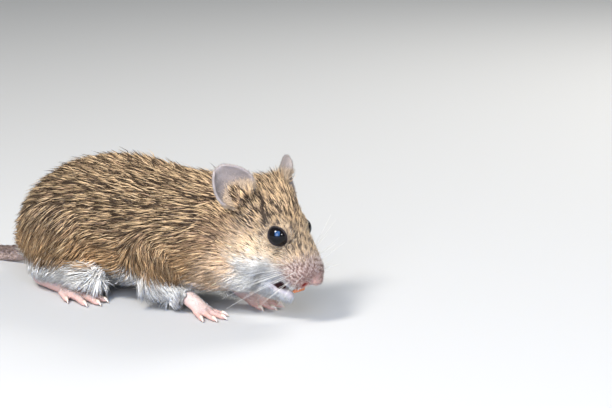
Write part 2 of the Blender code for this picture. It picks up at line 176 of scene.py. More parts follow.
def ramp(low, high, value):
    """0 up to low and 1 from high, with a smooth rise between; it falls where low is above high."""
    share = np.clip((value - low) / (high - low), 0, 1)
    return share * share * (3 - 2 * share)


def mix(first, second, share):
    share = np.asarray(share)[..., None]
    return first * (1 - share) + second * share


def unit(vectors):
    return vectors / np.maximum(np.linalg.norm(vectors, axis=-1, keepdims=True), 1e-9)


def distance_to(place, points):
    """How far each point is from a place."""
    return np.linalg.norm(points - place, axis=1)


def along_surface(vectors, normals):
    """The part of each vector that lies in the surface, as a unit vector."""
    return unit(vectors - normals * (vectors * normals).sum(axis=1)[:, None])


def ripple(points, wavelength, seed):
    """Smooth noise of about -1 to 1: a few waves in random directions."""
    draw = np.random.default_rng(seed)
    total = np.zeros(len(points))
    for _ in range(6):
        way = unit(draw.normal(size=3))
        length = wavelength * draw.uniform(0.6, 1.5)
        total += np.sin(points @ way * (2 * pi / length) + draw.uniform(0, 2 * pi))
    return total / 2.5


def read(items, field, width, kind=np.int32):
    """One field of a mesh's vertices, edges, faces or corners, with a row for each."""
    found = np.empty(len(items) * width, kind)
    items.foreach_get(field, found)
    return found.reshape(-1, width)


def points_of(mesh):
    return read(mesh.vertices, "co", 3, np.float32).astype(np.float64) / MM


def normals_of(mesh):
    return read(mesh.vertex_normals, "vector", 3, np.float32).astype(np.float64)


def edges_of(mesh):
    return read(mesh.edges, "vertices", 2)


def set_points(mesh, points):
    mesh.vertices.foreach_set("co", (points * MM).astype(np.float32).ravel())
    mesh.update()


def neighbour_mean(values, edges, count):
    total = np.zeros_like(values)
    for here, there in (edges.T, edges.T[::-1]):
        for column in range(values.shape[1]):
            total[:, column] += np.bincount(here, values[there, column], len(values))
    return total / count


def spread(values, edges, rounds, share=0.6):
    """Moves each vertex's values toward its neighbours' mean; share may differ by vertex."""
    flat = values.ndim == 1
    values = values[:, None].copy() if flat else values.copy()
    share = np.broadcast_to(share, len(values))[:, None]
    count = np.maximum(np.bincount(edges.ravel(), minlength=len(values)), 1)[:, None]
    for _ in range(rounds):
        values += (neighbour_mean(values, edges, count) - values) * share
    return values[:, 0] if flat else values


def smooth_shape(points, edges, rounds):
    """Smooths without shrinking: each step in is followed by a slightly larger step out."""
    for _ in range(rounds):
        points = spread(points, edges, 1, 0.62)
        points = spread(points, edges, 1, -0.64)
    return points


def nearest(points, targets):
    """Distance from each point to the nearest target point, and that target's place in the list."""
    tree = KDTree(len(targets))
    for index, target in enumerate(targets):
        tree.insert(target, index)
    tree.balance()
    found = [tree.find(point)[1:] for point in points]
    return np.array([distance for _, distance in found]), np.array([index for index, _ in found])


def box_centre(name):
    low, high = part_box(name)
    return (np.array(low) + np.array(high)) / 2 / MM


# The head's axes


def head_axes():
    """The nose tip, and unit vectors to the left, back and up along the skull."""
    left_eye, right_eye = (box_centre(name) for name in EYES)
    nose = box_centre("nose")
    left = unit(left_eye - right_eye)
    to_nose = unit(nose - (left_eye + right_eye) / 2)
    to_nose = unit(to_nose - left * (to_nose @ left))
    up = np.cross(left, -to_nose)
    back = -to_nose * cos(EYES_OFF_AXIS) - up * sin(EYES_OFF_AXIS)
    up = np.cross(left, back)
    return nose - back * NOSE_TO_TIP, np.array((left, back, up))


NOSE_TIP, HEAD_AXES = head_axes()


def in_head(points):
    """Points as (left, back, up) from the nose tip."""
    return (points - NOSE_TIP) @ HEAD_AXES.T


def from_head(points):
    return np.asarray(points) @ HEAD_AXES + NOSE_TIP


def trunk_share(points):
    """0 on the head, 1 on the trunk."""
    return ramp(18, 28, in_head(points)[:, 1])


# Materials


def set_inputs(node, values):
    for name, value in values.items():
        node.inputs[name].default_value = value


def new_material(name, colour, roughness):
    made = bpy.data.materials.new(name)
    made.use_nodes = True
    shader = made.node_tree.nodes["Principled BSDF"]
    set_inputs(shader, {"Base Color": (*colour, 1), "Roughness": roughness})
    return made, made.node_tree, shader


def add_bump(tree, shader, height, distance):
    bump = tree.nodes.new("ShaderNodeBump")
    set_inputs(bump, {"Distance": distance * MM})
    tree.links.new(height, bump.inputs["Height"])
    tree.links.new(bump.outputs["Normal"], shader.inputs["Normal"])


def noise(tree, scale):
    place = tree.nodes.new("ShaderNodeTexCoord")
    grain = tree.nodes.new("ShaderNodeTexNoise")
    set_inputs(grain, {"Scale": scale, "Detail": 4})
    tree.links.new(place.outputs["Object"], grain.inputs["Vector"])
    return grain.outputs["Fac"]


def attribute(tree, name):
    node = tree.nodes.new("ShaderNodeAttribute")
    node.attribute_name = name
    return node.outputs


def painted(name, roughness, gloss):
    """A material that shows the mesh's own colours."""
    made, tree, shader = new_material(name, (0.5, 0.5, 0.5), roughness)
    set_inputs(shader, {"Specular IOR Level": gloss})
    tree.links.new(attribute(tree, "Coat")["Color"], shader.inputs["Base Color"])
    return made, tree, shader


def grained(name, roughness, gloss, scale, height):
    """Painted, with a fine grain."""
    made, tree, shader = painted(name, roughness, gloss)
    add_bump(tree, shader, noise(tree, scale), height)
    return made


def ringed(name, roughness, gloss):
    """Painted, with the rings of scales that run round a tail."""
    made, tree, shader = painted(name, roughness, gloss)
    turns = tree.nodes.new("ShaderNodeMath")
    turns.operation = "MULTIPLY"
    set_inputs(turns, {1: 2 * pi / RING_PITCH})
    wave = tree.nodes.new("ShaderNodeMath")
    wave.operation = "SINE"
    tree.links.new(attribute(tree, "Along")["Fac"], turns.inputs[0])
    tree.links.new(turns.outputs[0], wave.inputs[0])
    add_bump(tree, shader, wave.outputs[0], 0.05)
    return made


def add_colours(mesh, colours):
    layer = mesh.color_attributes.new("Coat", "FLOAT_COLOR", "POINT")
    whole = np.ones((len(colours), 4), np.float32)
    whole[:, :3] = np.clip(colours, 0, 1)
    layer.data.foreach_set("color", whole.ravel())


# Building meshes


def new_object(name, data):
    obj = bpy.data.objects.new(name, data)
    bpy.context.scene.collection.objects.link(obj)
    return obj


def mesh_of(name, points, faces):
    """A mesh from points in millimetres and faces that all have the same number of corners."""
    faces = np.asarray(faces, np.int32)
    mesh = bpy.data.meshes.new(name)
    mesh.vertices.add(len(points))
    mesh.vertices.foreach_set("co", (np.asarray(points) * MM).astype(np.float32).ravel())
    mesh.loops.add(faces.size)
    mesh.loops.foreach_set("vertex_index", faces.ravel())
    mesh.polygons.add(len(faces))
    mesh.polygons.foreach_set("loop_start", np.arange(0, faces.size, faces.shape[1], dtype=np.int32))
    mesh.update(calc_edges=True)
    return mesh


def finish_piece(obj, material):
    obj.data.shade_smooth()
    obj.data.materials.append(material)
    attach(obj, "root")


def add_node(bm, name, grow=0.0):
    """Adds a CAD node's mesh, swollen a little so that it runs into its neighbours."""
    own = bmesh.new()
    own.from_mesh(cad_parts[name].data)
    bmesh.ops.remove_doubles(own, verts=own.verts, dist=1e-6)
    own.normal_update()
    for vert in own.verts:
        vert.co += vert.normal * grow * MM
    mesh = bpy.data.meshes.new(name)
    own.to_mesh(mesh)
    own.free()
    bm.from_mesh(mesh)
    bpy.data.meshes.remove(mesh)


def object_from(name, bm):
    mesh = bpy.data.meshes.new(name)
    bm.to_mesh(mesh)
    bm.free()
    return new_object(name, mesh)


def modified(obj, kind, **settings):
    """The object, with one modifier applied to its mesh."""
    modifier = obj.modifiers.new(kind.title(), kind)
    for name, value in settings.items():
        setattr(modifier, name, value)
    graph = bpy.context.evaluated_depsgraph_get()
    mesh = bpy.data.meshes.new_from_object(obj.evaluated_get(graph))
    obj.modifiers.clear()
    obj.data = mesh
    return obj


def add_tube(bm, path, radii, sides):
    """Adds a tube along a path, closed at both ends."""
    path = np.asarray(path, float)
    tangents = unit(np.gradient(path, axis=0))
    side = unit(np.cross(tangents, (0, 0, 1.0)))
    above = np.cross(side, tangents)
    turn = np.arange(sides) * 2 * pi / sides
    ring = np.cos(turn)[None, :, None] * side[:, None] + np.sin(turn)[None, :, None] * above[:, None]
    points = (path[:, None] + ring * np.asarray(radii)[:, None, None]).reshape(-1, 3)
    verts = [bm.verts.new(point * MM) for point in points]
    faces = []
    for start in range(0, len(points) - sides, sides):
        for corner in range(sides):
            low, high = start + corner, start + (corner + 1) % sides
            around = (low, low + sides, high + sides, high)
            faces.append(bm.faces.new([verts[index] for index in around]))
    faces.append(bm.faces.new(verts[:sides]))
    faces.append(bm.faces.new(verts[-sides:][::-1]))
    bmesh.ops.recalc_face_normals(bm, faces=faces)


# Eyes and lids


# Where each eye looks: left, back and up. The left one is turned more to the front.
GAZE = {"eye_left": (0.74, -0.48, 0.47), "eye_right": (-0.93, -0.32, 0.25)}
LID_HEIGHT = {"eye_left": 62, "eye_right": 45}  # degrees from the middle of the eye to each lid
LID_WIDTH = 60  # and to the corners
EYE_RADIUS = float(np.ptp(np.array(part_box("eye_left")), axis=0).mean() / 2 / MM)


def from_eyes(points):
    """How far each point is from the nearer eyeball."""
    return np.min([distance_to(box_centre(name), points) for name in EYES], axis=0) - EYE_RADIUS


def eye_frame(name):
    """The eye's centre, and unit vectors out of the head, forward along the lids, and up across them."""
    out = unit(np.array(GAZE[name]) @ HEAD_AXES)
    forward = np.array((0, -1.0, -0.20)) @ HEAD_AXES
    forward = unit(forward - out * (forward @ out))
    up = np.cross(out, forward) * -SIDES[name.split("_")[1]]
    return box_centre(name), out, forward, up


def past_lid(points, name):
    """Where each point lies about an eye.

    It gives the angle from the lids' opening out to the point, the distance from the eye's centre, and
    two unit vectors: from that centre to the point, and straight away from the eye's axis.
    """
    centre, out, forward, up = eye_frame(name)
    offset = points - centre
    distance = np.linalg.norm(offset, axis=1)
    ray = unit(offset)
    tilt = np.arccos(np.clip(ray @ out, -1, 1))
    level = unit(ray - (ray @ out)[:, None] * out)
    across, above = level @ forward, level @ up
    high = radians(LID_HEIGHT[name])
    opening = 1 / np.sqrt((across / radians(LID_WIDTH)) ** 2 + (above / high) ** 2)
    corner = radians(15) * np.clip(across, 0, 1) ** 12 + radians(6) * np.clip(-across, 0, 1) ** 12
    return tilt - opening - corner, distance, ray, level


def shape_lids(points):
    """Wraps the skin onto the eyeballs and opens the lids."""
    shaped = points.copy()
    for name in EYES:
        past, distance, ray, _ = past_lid(shaped, name)
        near = distance < EYE_RADIUS + 2.6
        past, distance, ray = past[near], distance[near], ray[near]
        rim = EYE_RADIUS + 0.08 + 0.16 * ramp(0.0, radians(9), past)
        inside = EYE_RADIUS - 0.5
        wanted = inside + (rim - inside) * ramp(-radians(6), radians(1), past)
        free = ramp(radians(12), radians(44), past)
        mound = wanted + 0.45 * ramp(radians(10), radians(60), past)
        length = np.where(past < 0, wanted, wanted * (1 - free) + np.maximum(distance, mound) * free)
        shaped[near] = box_centre(name) + ray * length[:, None]
    return shaped


# The skin's shape


def ear_root(name):
    """Where the ear leaves the head: the middle of its lowest part."""
    points = points_of(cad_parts[name].data)
    height = (points - from_head((0, 20, 0))) @ unit(box_centre(name) - from_head((0, 20, 0)))
    return points[height < np.quantile(height, 0.18)].mean(axis=0)


EAR_ROOTS = {name: ear_root(name) for name in EARS}


def refine(obj, places):
    """Divides the faces near each place, so that lids, nostrils and lips come out fine."""
    bm = bmesh.new()
    bm.from_mesh(obj.data)
    points = points_of(obj.data)
    close = np.zeros(len(points), bool)
    for centre, radius in places:
        close |= distance_to(centre, points) < radius
    edges = [edge for edge in bm.edges if close[edge.verts[0].index] and close[edge.verts[1].index]]
    bmesh.ops.subdivide_edges(bm, edges=edges, cuts=1, use_grid_fill=True)
    bm.to_mesh(obj.data)
    bm.free()


def make_flesh():
    """The furred body, closed over its gaps and sockets, at the size of the CAD."""
    bm = bmesh.new()
    for name in (*FURRED, *EYES, "nose"):
        add_node(bm, name, JAW_SWELL if name == "lower_jaw" else SWELL)
    middle = from_head((0, 20, 1))
    for root in EAR_ROOTS.values():
        place = Matrix.Translation(Vector(root + unit(middle - root)) * MM)
        bmesh.ops.create_icosphere(bm, subdivisions=3, radius=2.5 * MM, matrix=place)
    obj = object_from("mouse_skin", bm)
    modified(obj, "REMESH", mode="VOXEL", voxel_size=VOXEL * MM)
    fine = [(box_centre(name), 3.8) for name in EYES]
    fine += [(box_centre("nose"), 3.6), (from_head((0, 5, -5)), 4.0)]
    refine(obj, fine)
    set_points(obj.data, smooth_shape(points_of(obj.data), edges_of(obj.data), 9))
    set_points(obj.data, points_of(obj.data) - normals_of(obj.data) * DRAWN_BACK)
    return obj


def make_shell(name, nodes, levels):
    """Feet or ears, rounded from the CAD's facets."""
    bm = bmesh.new()
    for node in nodes:
        add_node(bm, node)
    obj = object_from(name, bm)
    return modified(obj, "SUBSURF", levels=levels, render_levels=levels)


def tail_radius(share):
    """The CAD's taper, with a finer tip."""
    root, tip = TAIL_RADII
    return (root + (tip - root) * share**0.8) * (1 - 0.5 * ramp(0.86, 1.0, share))


def tail_path(steps):
    """Points from the root down to the floor and along it in a slow double bend."""
    points = []
    place = np.array((0.0, TAIL_ROOT))
    for step in range(steps + 1):
        share = step / steps
        lift = TAIL_RISE * max(1 - share / TAIL_DROP, 0) ** 2
        points.append((*place, lift + 0.93 * tail_radius(share)))
        heading = TAIL_BEND * sin(pi * share * TAIL_HALF_WAVES) * share**0.5
        place = place + np.array((sin(heading), cos(heading))) * TAIL_LENGTH / steps
    return np.array(points) + SHIFT


TAIL_LINE = tail_path(180)
TAIL_WAY = unit(np.gradient(TAIL_LINE, axis=0))


def make_tail_shell():
    shares = np.linspace(0, 1, len(TAIL_LINE))
    inside = TAIL_LINE[0] - (TAIL_LINE[1] - TAIL_LINE[0]) * 6
    end = TAIL_LINE[-1] + unit(TAIL_LINE[-1] - TAIL_LINE[-2]) * 0.45
    path = np.concatenate(([inside], TAIL_LINE, [end]))
    radii = np.concatenate(([2.0], tail_radius(shares), [0.12]))
    bm = bmesh.new()
    add_tube(bm, path, radii, 18)
    obj = object_from("tail_shell", bm)
    points = points_of(obj.data)
    points[:, 2] = np.maximum(points[:, 2], 0.0)
    set_points(obj.data, points)
    return obj


class Skin:
    """The one skin: its object, and for each point what it belongs to and how the hair grows there."""

    def __init__(self):
        self.obj = make_flesh()
        shells = {
            FOOT: make_shell("foot_shell", FEET, 2),
            EAR: make_shell("ear_shell", EARS, 2),
            TAIL_SKIN: make_tail_shell(),
        }
        owners = {kind: points_of(shell.data) for kind, shell in shells.items()}
        for shell in shells.values():
            modified(self.obj, "BOOLEAN", operation="UNION", solver="MANIFOLD", object=shell)
            bpy.data.objects.remove(shell)
        self.mesh = self.obj.data
        self.edges = edges_of(self.mesh)
        points = points_of(self.mesh)
        self.kind = np.zeros(len(points), int)
        for kind, own in owners.items():
            self.kind[nearest(points, own)[0] < 0.02] = kind
        points = self.soften_joins(points)
        set_points(self.mesh, points)
        self.normals = normals_of(self.mesh)
        self.from_foot = nearest(points, np.concatenate((owners[FOOT], owners[TAIL_SKIN])))[0]
        self.from_ear = nearest(points, owners[EAR])[0]
        self.from_nose = distance_to(box_centre("nose"), points)
        self.set_hair(points)
        points = points - self.normals * self.depth[:, None]
        points = smooth_shape(points, self.edges, 2)
        points = spread(points, self.edges, 3, 0.5 * self.furred)
        points = shape_lids(points)
        points = spread(points, self.edges, 1, 0.25 * self.furred)
        points = shape_lids(points)
        points = open_mouth(points, self.normals, self.edges)
        points, self.nostril, self.nostril_edge = shape_nose(points, self.normals)
        set_points(self.mesh, points)
        self.points = points
        self.normals = normals_of(self.mesh)
        self.in_mouth = self.find_mouth()
        self.bare_mouth()

    def soften_joins(self, points):
        """Rounds the crease where a foot, an ear or the tail leaves the body."""
        ends = self.kind[self.edges]
        crossing = self.edges[ends[:, 0] != ends[:, 1]].ravel()
        near = np.zeros(len(points))
        near[crossing] = 1
        near = np.clip(spread(near, self.edges, 7, 0.9) * 8, 0, 1)
        self.near_join = near
        return spread(points, self.edges, 8, 0.6 * near)

    def set_hair(self, points):
        """Sets how long the hair is, where it grows, and how deep the skin lies under its tips."""
        _, back, up = in_head(points).T
        head = np.interp(back, *zip(*HAIR_ON_HEAD))
        throat = ramp(-4, -8.5, up) * ramp(9, 13, back) * (1 - trunk_share(points))
        length = head + 1.6 * throat
        length = length + (HAIR_ON_TRUNK - length) * trunk_share(points)
        length *= 0.30 + 0.70 * ramp(0.2, 3.4, from_eyes(points))
        length *= 1 + 0.12 * crown_share(points)
        before_ear = ramp(23.5, 20.5, back)
        length *= 0.35 + 0.65 * np.maximum(ramp(0.0, 4.0, self.from_ear), before_ear)
        length *= 0.20 + 0.80 * ramp(0.0, 4.5, self.from_foot)
        length *= 0.80 + 0.20 * ramp(1.5, 3.5, self.from_nose)
        self.length = spread(length, self.edges, 6)
        pad = ramp(1.9, 1.3, self.from_nose) * ramp(-0.5, -1.2, up)
        self.furred = (self.kind == BODY) * (1 - pad)
        self.furred *= ramp(-0.1, 0.6, self.from_foot)
        share = DEPTH_SHARE * (1 - 0.55 * ramp(13, 8, back))
        depth = self.length * share * ramp(0.0, 1.5, self.from_ear)
        jaw = ramp(9.5, 7.5, back) * ramp(-4.6, -5.4, up)
        depth = depth * ramp(0.6, 2.6, self.from_nose) * (self.kind == BODY) * (1 - jaw)
        self.depth = spread(depth, self.edges, 8)
        self.depth[self.kind != BODY] = 0

    def bare_mouth(self):
        """Takes the hair off the nostrils and the gum of the teeth, and shortens it along the lips.

        On the jaw it is short above, inside the mouth, and longer below.
        """
        near = np.clip(spread(self.in_mouth, self.edges, 12, 0.9) * 5, 0, 1)
        teeth = distance_to(box_centre("upper_incisors"), self.points)
        self.length *= 1 - 0.70 * near
        self.length *= (1 - 0.5 * self.nostril_edge) * (1 - 0.45 * ramp(3.4, 2.2, teeth))
        self.furred *= ramp(0.95, 0.65, self.nostril_edge) * ramp(1.6, 2.3, teeth)
        upward = ramp(-0.1, 0.5, self.normals @ HEAD_AXES[2])
        self.length *= 1 + (0.25 - 0.65 * upward) * jaw_share(self.points)

    def find_mouth(self):
        """1 where the skin faces other skin across the open mouth."""
        faces = [list(face.vertices) for face in self.mesh.polygons]
        tree = BVHTree.FromPolygons(self.points.tolist(), faces)
        _, back, up = in_head(self.points).T
        found = np.zeros(len(self.points))
        close = np.flatnonzero((back < 11) & (up < -3.0) & (self.kind == BODY))
        for index in close:
            normal = Vector(self.normals[index])
            start = Vector(self.points[index]) + normal * 0.1
            if tree.ray_cast(start, normal, 3.0)[0] is not None:
                found[index] = 1
        return np.clip(spread(found, self.edges, 2), 0, 1)


def open_mouth(points, normals, edges):
    """Lowers the top of the jaw toward the corner of the mouth, so that the gape shows from the side."""
    _, back, up = in_head(points).T
    jaw_top = ramp(0.0, 0.5, normals @ HEAD_AXES[2]) * ramp(-7.4, -6.6, up) * ramp(-4.5, -5.1, up)
    lowered = jaw_top * ramp(3.0, 5.5, back) * ramp(11.0, 9.0, back)
    return spread(points - HEAD_AXES[2] * (0.4 * lowered)[:, None], edges, 4, 0.6 * lowered)


def shape_nose(points, normals):
    """Opens the nostrils, each a comma that runs back, and the cleft below them, and lifts the lip.

    It gives the points, then 1 in the pits, then 1 in the pits and close round them.
    """
    offset = points - box_centre("nose")
    near = np.linalg.norm(offset, axis=1) < 3.2
    away = unit(offset) @ HEAD_AXES.T
    deep = np.zeros(len(points))
    edge = np.zeros(len(points))
    for side in SIDES.values():
        for (left, back, up), radius, depth in NOSTRILS:
            facing = np.where(near, away @ unit(np.array((side * left, back, up))), -1)
            gap = distance_to(points[facing.argmax()], points)
            deep = np.maximum(deep, depth * np.clip(1 - (gap / radius) ** 2, 0, 1) ** 2)
            edge = np.maximum(edge, ramp(radius + 0.6, radius - 0.1, gap))
    left, back, up = in_head(points).T
    cleft = ramp(0.45, 0.05, np.abs(left)) * ramp(-0.6, -1.3, up)
    cleft = cleft * ramp(4.0, 2.5, back) * ramp(-4.6, -3.6, up)
    shaped = points - normals * (deep + 0.30 * cleft)[:, None]
    teeth = distance_to(box_centre("upper_incisors"), points)
    lifted = ramp(4.0, 2.2, teeth) * ramp(-1.2, -3.2, up) * ramp(-5.5, -4.9, up)
    shaped = shaped + HEAD_AXES[2] * (2.3 * lifted)[:, None]
    return shaped, ramp(0.05, 0.30, deep), edge


# Markings


def belly_share(points):
    """1 where the coat is white: lip, throat and belly."""
    _, back, up = in_head(points).T
    edge = np.interp(back, (2, 6.5, 10, 14, 18, 24), (-2.0, -1.5, -1.6, -4.2, -7.0, -10.5))
    wander = 0.5 * ripple(points, 5.0, 11) + 0.35 * ripple(points, 1.6, 12)
    on_head = ramp(1.7, -1.5, up - edge - wander)
    on_trunk = ramp(1.2, -1.2, points[:, 2] - 7.2 - wander)
    share = ramp(15, 22, back)
    return on_head * (1 - share) + on_trunk * share


def muzzle_share(points):
    """1 on the bristly pads beside the nose, which reach further back low down than on the bridge."""
    _, back, up = in_head(points).T
    reach = back + 0.65 * (up + 1) + 0.5 * ripple(points, 2.2, 13)
    return ramp(9.0, 5.2, reach) * ramp(9.0, 6.5, back) * ramp(-5.0, -3.8, up)


def layered(colour, layers):
    """Lays paints over a colour in turn, each by its share at each point."""
    for paint, share in layers:
        colour = mix(colour, paint, share)
    return colour


def coat_colour(points):
    """The coat's markings at each point."""
    left, back, up = in_head(points).T
    left = np.abs(left)
    cheek = ramp(9.5, 2.5, up + 2) * ramp(22, 14, back)
    flank = ramp(17.5, 10.5, points[:, 2]) * ramp(14, 22, back)
    bridge = ramp(13, 8, back) * ramp(3.6, 1.5, left)
    eye_ring = ramp(2.4, 0.6, from_eyes(points)) * (1 - trunk_share(points))
    behind_eye = np.array(((back - 15.5) / 2.4, (left - 5.8) / 2.0, (up - 6.0) / 2.0))
    lip = ramp(10, 7, back)
    collar = ramp(12, 16.5, back) * ramp(22, 17, back)
    collar = collar * ramp(-5.0, -7.5, up) * ramp(4.5, 7.0, points[:, 2])
    layers = (
        (LIGHT_TAN, 0.95 * cheek),
        (GOLDEN, 0.65 * flank),
        (LIGHT_TAN * 0.92, 0.8 * bridge),
        (GREY_BROWN * 1.3, 0.35 * crown_share(points)),
        (LIGHT_TAN, 0.85 * eye_ring),
        (GREY_BROWN, 0.45 * np.exp(-(behind_eye**2).sum(axis=0))),
        (MUZZLE, 0.8 * muzzle_share(points)),
        (mix(WHITE, LIP_WHITE, lip), belly_share(points)),
        (GOLDEN * 1.3, 0.7 * collar),
    )
    return layered(BROWN, layers)


def agouti_share(points):
    """How strongly dark and straw hairs mix in: on the back and crown, hardly on white or the cheeks."""
    _, back, up = in_head(points).T
    trunk = trunk_share(points)
    height = (points[:, 2] - 8) / 9 * trunk + (up + 2.5) / 6 * (1 - trunk)
    before_brow = 0.75 + 0.25 * ramp(8, 13, back)
    return np.clip(height, 0.3, 1) * (1 - belly_share(points)) * ramp(1, 6, back) * before_brow


def skin_colours(skin):
    """The skin's own colours: the coat's markings where it is furred, and bare skin elsewhere."""
    points = skin.points
    left, back, up = in_head(points).T
    on_chin = ramp(9, 6, back) * ramp(-4.6, -5.4, up)
    cleft = ramp(0.9, 0.4, np.abs(left)) * ramp(-0.5, -1.2, up)
    cleft = cleft * ramp(4.5, 3.5, back) * ramp(-5.2, -4.6, up)
    layers = [
        (PINK * 0.5, 0.85 * muzzle_share(points)),
        (CHIN, 0.8 * on_chin),
        (PINK, ramp(2.8, 1.9, skin.from_nose)),
        (PHILTRUM, 0.35 * skin.nostril_edge),
        (PHILTRUM, cleft),
        # painted shade inside the open mouth, over its dark red
        (MOUTH_SHADE, skin.in_mouth),
        (NOSTRIL, skin.nostril),
    ]
    for name in EYES:
        past, distance, _, _ = past_lid(points, name)
        layers.append((LID, ramp(radians(11), radians(7), past) * (distance < EYE_RADIUS + 0.9)))
    colours = layered(coat_colour(points) * (0.55 + 0.25 * belly_share(points))[:, None], layers)
    ear = skin.kind == EAR
    colours[ear] = ear_colour(points[ear])
    foot = skin.kind == FOOT
    colours[foot] = mix(PINK, WHITE * 0.9, 0.35 * ramp(0.5, 3.0, points[foot, 2]))
    tail = skin.kind == TAIL_SKIN
    colours[tail] = tail_colour(skin.normals[tail])
    blended = spread(colours, skin.edges, 6)
    return mix(colours, blended, skin.near_join)


def ear_reach(points):
    """0 at the root of the nearer ear, 1 at its tip."""
    return np.min([distance_to(root, points) for root in EAR_ROOTS.values()], axis=0) / EAR_LENGTH


def ear_fur(points):
    """1 on the lower front of the ear, which the crown's fur climbs, and 0 on its bare part."""
    back = in_head(points)[:, 1]
    limit = 0.28 + 0.28 * ramp(25.0, 20.5, back)
    return ramp(limit + 0.08, limit - 0.08, ear_reach(points))


def ear_colour(points):
    reach = ear_reach(points)
    colour = mix(EAR_SKIN * 0.75, EAR_SKIN, ramp(0.2, 0.6, reach))
    colour = mix(colour, BROWN * 0.6, ear_fur(points))
    return colour * (1 + 0.10 * ripple(points, 2.5, 21))[:, None]


def tail_colour(normals):
    return mix(TAIL_UNDER, TAIL_TOP, ramp(-0.35, 0.35, normals[:, 2]))


def make_skin():
    skin = Skin()
    mesh = skin.mesh
    colours = skin_colours(skin)
    # Lightens the ear's curved rim: painted light through its thin edge.
    curve = np.linalg.norm(spread(skin.points, skin.edges, 4) - skin.points, axis=1)
    rim = ramp(0.03, 0.09, curve) * (skin.kind == EAR) * ramp(0.3, 0.5, ear_reach(skin.points))
    colours = mix(colours, EAR_RIM_GLOW, 0.5 * rim)
    add_colours(mesh, colours)
    along = mesh.attributes.new("Along", "FLOAT", "POINT")
    on_tail = skin.kind == TAIL_SKIN
    reach = np.zeros(len(skin.points))
    reach[on_tail] = tail_reach(skin.points[on_tail])
    along.data.foreach_set("value", reach.astype(np.float32))
    mesh.materials.clear()
    for material in (
        grained("fur_skin", 0.8, 0.05, 2500, 0.05),
        grained("foot_skin", 0.55, 0.20, 1800, 0.06),
        grained("ear_skin", 0.6, 0.12, 1500, 0.04),
        ringed("tail_skin", 0.6, 0.2),
        grained("nose_skin", 0.45, 0.25, 3200, 0.07),
    ):
        mesh.materials.append(material)
    starts = read(mesh.polygons, "loop_start", 1)[:, 0]
    first = read(mesh.loops, "vertex_index", 1)[starts, 0]
    slots = skin.kind[first]
    slots[(skin.from_nose[first] < 2.3) & (slots == BODY)] = NOSE_PAD
    mesh.polygons.foreach_set("material_index", slots.astype(np.int32))
    mesh.shade_smooth()
    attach(skin.obj, "root")
    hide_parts(*FURRED, *FEET, *EARS, *TAIL, "nose")
    return skin


def tail_reach(points):
    """How far along the tail each point lies."""
    index = nearest(points, TAIL_LINE)[1]
    stride = TAIL_LENGTH / (len(TAIL_LINE) - 1)
    return index * stride + ((points - TAIL_LINE[index]) * TAIL_WAY[index]).sum(axis=1)


# The lie of the coat


def limb_flow(points, labels, flow):
    """Turns the flow toward the foot on each limb."""
    feet = {"thigh": (HIND_FOOT, 1, -6.0), "foreleg": (FORE_FOOT, 0, 0.0)}
    for name in LIMBS:
        limb, side = name.split("_")
        foot, outward, height = feet[limb]
        left, back = foot["place"][side]
        target = np.array((SIDES[side] * (left + outward), back - 2, height)) + SHIFT
        on_limb = labels == name
        flow[on_limb] = unit(target - points[on_limb]) + np.array((0, 0.25, 0))
    return flow


def label_points(points):
    """The name of the furred node nearest to each point."""
    names, verts, faces = [], [], []
    for name in FURRED:
        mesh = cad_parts[name].data
        start = len(verts)
        verts += [vert.co / MM for vert in mesh.vertices]
        faces += [[start + index for index in face.vertices] for face in mesh.polygons]
        names += [name] * len(mesh.polygons)
    tree = BVHTree.FromPolygons(verts, faces)
    return np.array([names[tree.find_nearest(Vector(point))[2]] for point in points])


def jaw_share(points):
    """1 on the lower jaw."""
    _, back, up = in_head(points).T
    return ramp(-2.6, -3.4, up + 0.45 * back) * ramp(9.5, 7.0, back)


def crown_share(points):
    """1 on top of the head before the ears, where the hair stands up a little."""
    _, back, up = in_head(points).T
    return ramp(11, 15, back) * ramp(25, 20, back) * ramp(2.5, 5.5, up)


def body_flow(skin):
    """The way the hairs point: away from the nose, back along the trunk, down the limbs."""
    points = skin.points
    up = in_head(points)[:, 2]
    from_nose = unit(points - from_head((0, 1.5, -1.5)))
    hang = np.array((0, 0, -0.45)) * ramp(-2, -8, up)[:, None]
    side = np.sign(points[:, 0] - SHIFT[0])[:, None]
    on_trunk = np.array((0, 1.0, -0.20)) + side * np.array((0.08, 0, 0))
    flow = mix(unit(from_nose + hang), unit(on_trunk), trunk_share(points))
    flow = limb_flow(points, label_points(points), flow)
    flow = along_surface(spread(flow, skin.edges, 40), skin.normals)
    for name in EYES:
        flow = part_round_eye(skin, flow, name)
    return flow


def part_round_eye(skin, flow, name):
    """Turns hairs that would run into the eye so that they pass on either side of it."""
    _, distance, _, level = past_lid(skin.points, name)
    away = along_surface(level, skin.normals)
    outward = (flow * away).sum(axis=1)[:, None]
    aside = flow - away * outward
    aside = aside / np.maximum(np.linalg.norm(aside, axis=1, keepdims=True), 0.15)
    pull = ramp(EYE_RADIUS + 3.0, EYE_RADIUS + 0.8, distance)[:, None]
    toward = np.minimum(outward, 0) * pull
    return flow - 0.95 * away * toward - 0.8 * aside * toward


# Tufts


